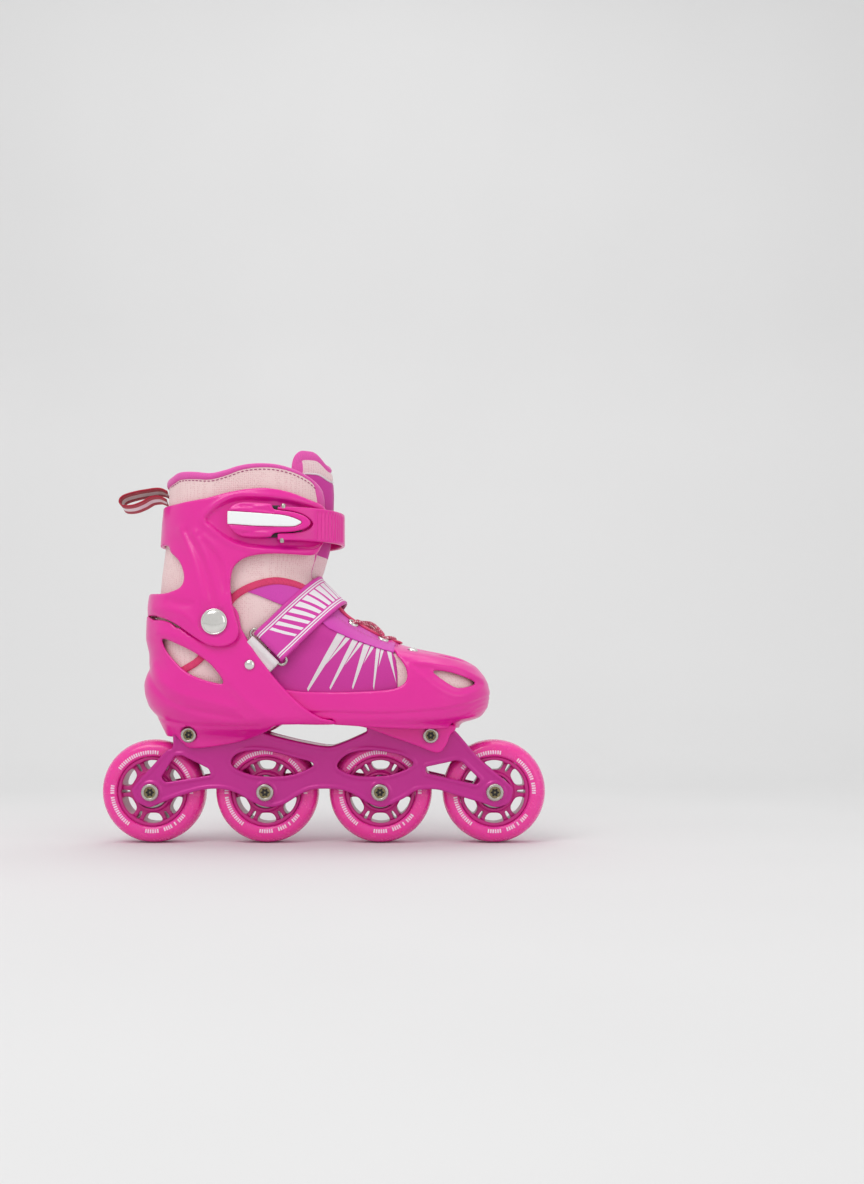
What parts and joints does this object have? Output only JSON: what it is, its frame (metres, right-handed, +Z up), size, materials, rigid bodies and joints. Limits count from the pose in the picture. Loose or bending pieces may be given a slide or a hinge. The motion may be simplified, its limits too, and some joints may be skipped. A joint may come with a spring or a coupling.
{
  "type": "inline skate",
  "caption": "Adjustable inline skate with a hinged cuff, buckles, an instep strap, a sliding toe shell and free wheels in a metal frame.",
  "frame": {"origin": "on the ground under the middle of the wheelbase, on the skate's mid-plane", "axes": "+X points to the toe, +Y to the wearer's left (the inner side of this right skate), +Z up"},
  "size_m": [0.301, 0.094, 0.264],
  "materials": {
    "wheel_pu": "glossy pink cast polyurethane with a printed white ring",
    "hub_plastic": "moulded magenta nylon",
    "bearing_steel": "ground bearing steel",
    "bolt_steel": "nickel-plated steel",
    "frame_paint": "deep magenta metallic coating on aluminium",
    "shell_plastic": "satin hot-pink moulded polypropylene",
    "rivet_chrome": "polished plated steel",
    "black_plastic": "black glass-filled nylon",
    "white_plastic": "white moulded plastic",
    "mesh_fabric": "blush-pink padded air mesh",
    "lining_fabric": "soft magenta brushed lining",
    "tongue_fabric": "padded magenta and blush mesh tongue",
    "synthetic_leather": "violet-magenta synthetic upper",
    "strap_fabric": "magenta printed hook-and-loop strap",
    "lace_cord": "speckled red, pink and white round lace",
    "white_webbing": "white woven webbing",
    "loop_webbing": "red and white striped webbing"
  },
  "bodies": {
    "chassis": {"frame": "frame_paint", "boot_bolt_rear": "bolt_steel", "boot_bolt_front": "bolt_steel", "heel_shell": "shell_plastic", "cuff_rivet_right": "rivet_chrome", "cuff_rivet_left": "rivet_chrome", "strap_anchor_rivet": "rivet_chrome", "liner_heel": "mesh_fabric", "tongue": "tongue_fabric", "insole": "lining_fabric", "instep_strap": "strap_fabric", "strap_ring": "bolt_steel", "strap_tab": "white_webbing", "axle_bolt_1": "bolt_steel", "axle_bolt_2": "bolt_steel", "axle_bolt_3": "bolt_steel", "axle_bolt_4": "bolt_steel", "axle_nut_1": "bolt_steel", "axle_nut_2": "bolt_steel", "axle_nut_3": "bolt_steel", "axle_nut_4": "bolt_steel"},
    "toe": {"toe_shell": "shell_plastic", "liner_toe": "mesh_fabric", "lace_panel": "synthetic_leather", "eyelet_1": "rivet_chrome", "eyelet_2": "rivet_chrome", "eyelet_3": "rivet_chrome", "eyelet_4": "rivet_chrome", "lace": "lace_cord"},
    "cuff": {"cuff": "shell_plastic", "liner_collar": "lining_fabric", "buckle_base_right": "black_plastic", "buckle_base_left": "black_plastic", "ladder_strap": "shell_plastic", "pull_loop": "loop_webbing"},
    "lever_right": {"buckle_lever_right": "shell_plastic", "lever_inlay_right": "white_plastic"},
    "lever_left": {"buckle_lever_left": "shell_plastic", "lever_inlay_left": "white_plastic"},
    "button": {"size_button": "black_plastic"},
    "wheel_1": {"tyre_1": "wheel_pu", "hub_1": "hub_plastic", "bearing_1_right": "bearing_steel", "bearing_1_left": "bearing_steel", "bearing_spacer_1": "bearing_steel"},
    "wheel_2": {"tyre_2": "wheel_pu", "hub_2": "hub_plastic", "bearing_2_right": "bearing_steel", "bearing_2_left": "bearing_steel", "bearing_spacer_2": "bearing_steel"},
    "wheel_3": {"tyre_3": "wheel_pu", "hub_3": "hub_plastic", "bearing_3_right": "bearing_steel", "bearing_3_left": "bearing_steel", "bearing_spacer_3": "bearing_steel"},
    "wheel_4": {"tyre_4": "wheel_pu", "hub_4": "hub_plastic", "bearing_4_right": "bearing_steel", "bearing_4_left": "bearing_steel", "bearing_spacer_4": "bearing_steel"}
  },
  "joints": [
    {"name": "wheel_1_spin", "type": "hinge", "parent": "chassis", "child": "wheel_1", "pos_m": [-0.1155, 0, 0.035], "axis": [0, 1, 0], "continuous": true},
    {"name": "wheel_2_spin", "type": "hinge", "parent": "chassis", "child": "wheel_2", "pos_m": [-0.0385, 0, 0.035], "axis": [0, 1, 0], "continuous": true},
    {"name": "wheel_3_spin", "type": "hinge", "parent": "chassis", "child": "wheel_3", "pos_m": [0.0385, 0, 0.035], "axis": [0, 1, 0], "continuous": true},
    {"name": "wheel_4_spin", "type": "hinge", "parent": "chassis", "child": "wheel_4", "pos_m": [0.1155, 0, 0.035], "axis": [0, 1, 0], "continuous": true},
    {"name": "cuff_flex", "type": "hinge", "parent": "chassis", "child": "cuff", "pos_m": [-0.0686, 0, 0.1481], "axis": [0, 1, 0], "range_deg": [0, 12]},
    {"name": "toe_adjust", "type": "slide", "parent": "chassis", "child": "toe", "axis": [1, 0, 0], "range_m": [0, 0.018]},
    {"name": "buckle_right", "type": "hinge", "parent": "cuff", "child": "lever_right", "pos_m": [-0.01, -0.0444, 0.214], "axis": [0, 0, 1], "range_deg": [0, 105]},
    {"name": "buckle_left", "type": "hinge", "parent": "cuff", "child": "lever_left", "pos_m": [-0.01, 0.0444, 0.214], "axis": [0, 0, -1], "range_deg": [0, 105]},
    {"name": "size_button_press", "type": "slide", "parent": "chassis", "child": "button", "axis": [0, -1, 0], "range_m": [0, 0.0022], "stiffness_N_per_m": 80, "springref_m": -0.003}
  ]
}
